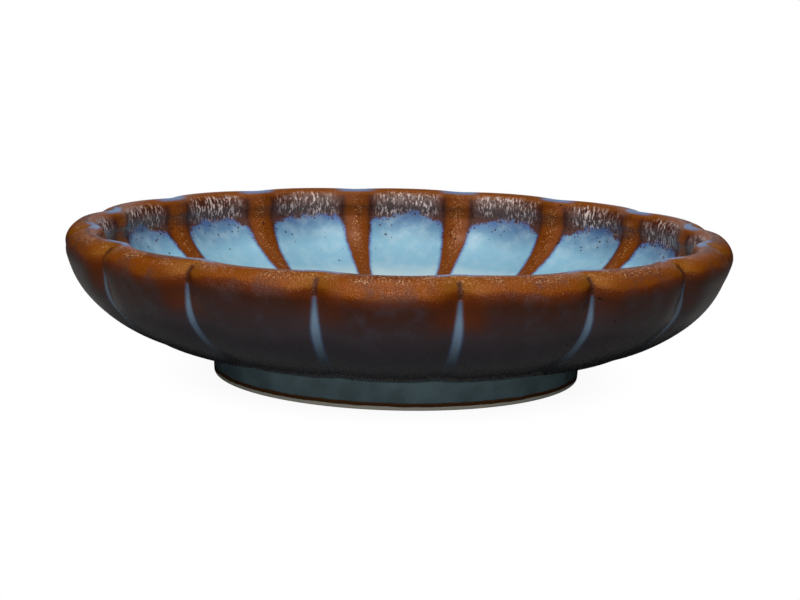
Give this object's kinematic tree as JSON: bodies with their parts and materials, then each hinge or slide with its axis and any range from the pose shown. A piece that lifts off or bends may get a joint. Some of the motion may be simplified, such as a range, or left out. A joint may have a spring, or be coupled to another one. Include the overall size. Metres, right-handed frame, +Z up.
{
  "type": "bonsai pot",
  "caption": "Shallow round lobed bonsai pot in flowing amber and blue glaze, on a ring foot, with a central drain hole held under a mesh screen and wire clip.",
  "frame": {"origin": "centre of the ring foot's contact face, on the surface that the pot stands on", "axes": "+Z up through the mouth; -Y is the front; the crest of a lobe lies on +X and one on -Y"},
  "size_m": [0.22, 0.22, 0.049],
  "materials": {
    "bowl_glaze": "gloss glaze, amber at the lip and ribs, blue in the grooves",
    "foot_glaze": "gloss dark teal glaze above a bare clay edge",
    "screen_plastic": "moulded mesh, matt",
    "clip_wire": "brown anodised wire"
  },
  "bodies": {
    "root": {"bowl": "bowl_glaze", "foot_ring": "foot_glaze", "drain_screen": "screen_plastic", "screen_clip": "clip_wire"}
  },
  "joints": []
}
